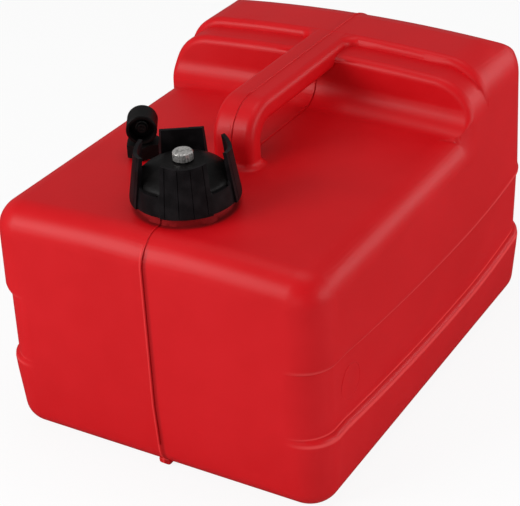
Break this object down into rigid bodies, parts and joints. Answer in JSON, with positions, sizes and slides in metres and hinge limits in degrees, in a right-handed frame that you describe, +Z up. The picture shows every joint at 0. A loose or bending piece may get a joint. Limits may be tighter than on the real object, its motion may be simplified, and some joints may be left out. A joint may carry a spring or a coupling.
{
  "type": "outboard fuel tank",
  "caption": "Portable red plastic boat fuel tank with carry handle, vented screw cap and swivelling hose connector.",
  "frame": {"origin": "on the floor under the middle of the tank", "axes": "+Z up, +Y from the filler end towards the tall rear end, +X to the right when looking from the filler end"},
  "size_m": [0.242, 0.3234, 0.2117],
  "materials": {
    "red_tank": "semi-gloss blow-moulded polyethylene with a fine grain",
    "black_grip": "satin black moulded plastic",
    "black_closure": "satin black moulded plastic",
    "seal_rubber": "soft black nitrile rubber",
    "vent_steel": "knurled plated steel",
    "brass": "turned brass",
    "spring_steel": "bright spring steel",
    "white_plastic": "natural polyethylene",
    "outlet_black": "satin black glass-filled nylon"
  },
  "bodies": {
    "tank": {"tank_shell": "red_tank", "outlet_gasket": "seal_rubber", "pickup_head": "outlet_black", "outlet_nut": "outlet_black", "pickup_tube": "white_plastic", "pickup_strainer": "white_plastic"},
    "cap_seal": {"filler_gasket": "seal_rubber"},
    "cap": {"cap_closure": "black_closure", "cap_grip": "black_grip", "vent_insert": "brass", "splash_cup": "white_plastic"},
    "vent_seal": {"vent_o_ring": "seal_rubber"},
    "vent_knob": {"vent_screw": "vent_steel", "vent_clip": "spring_steel"},
    "outlet": {"outlet_elbow": "outlet_black", "elbow_o_ring": "seal_rubber", "connector_nipple": "outlet_black", "nipple_o_ring": "seal_rubber", "spring_retainer": "spring_steel", "poppet_spring": "spring_steel"},
    "valve": {"poppet": "outlet_black", "poppet_seal": "seal_rubber"}
  },
  "joints": [
    {"name": "cap_turn", "type": "hinge", "parent": "cap_seal", "child": "cap", "pos_m": [0, -0.1077, 0.186], "axis": [0, 0, 1], "range_deg": [0, 720]},
    {"name": "cap_lift", "type": "slide", "parent": "tank", "child": "cap_seal", "axis": [0, 0, 1], "range_m": [0, 0.008]},
    {"name": "vent_turn", "type": "hinge", "parent": "vent_seal", "child": "vent_knob", "pos_m": [0, -0.1077, 0.2], "axis": [0, 0, 1], "range_deg": [0, 900]},
    {"name": "vent_lift", "type": "slide", "parent": "cap", "child": "vent_seal", "axis": [0, 0, 1], "range_m": [0, 0.002]},
    {"name": "outlet_swivel", "type": "hinge", "parent": "tank", "child": "outlet", "pos_m": [-0.0628, -0.0601, 0.178], "axis": [0, 0, 1], "continuous": true},
    {"name": "valve_push", "type": "slide", "parent": "outlet", "child": "valve", "axis": [-0.521, 0.8536, 0], "range_m": [0, 0.003], "stiffness_N_per_m": 300, "springref_m": -0.004, "deforming": ["poppet_spring"]}
  ],
  "couplings": [
    {"joint": "cap_lift", "follows": "cap_turn", "m_per_rad": 0.00063662},
    {"joint": "vent_turn", "follows": "vent_lift", "rad_per_m": 7854}
  ]
}
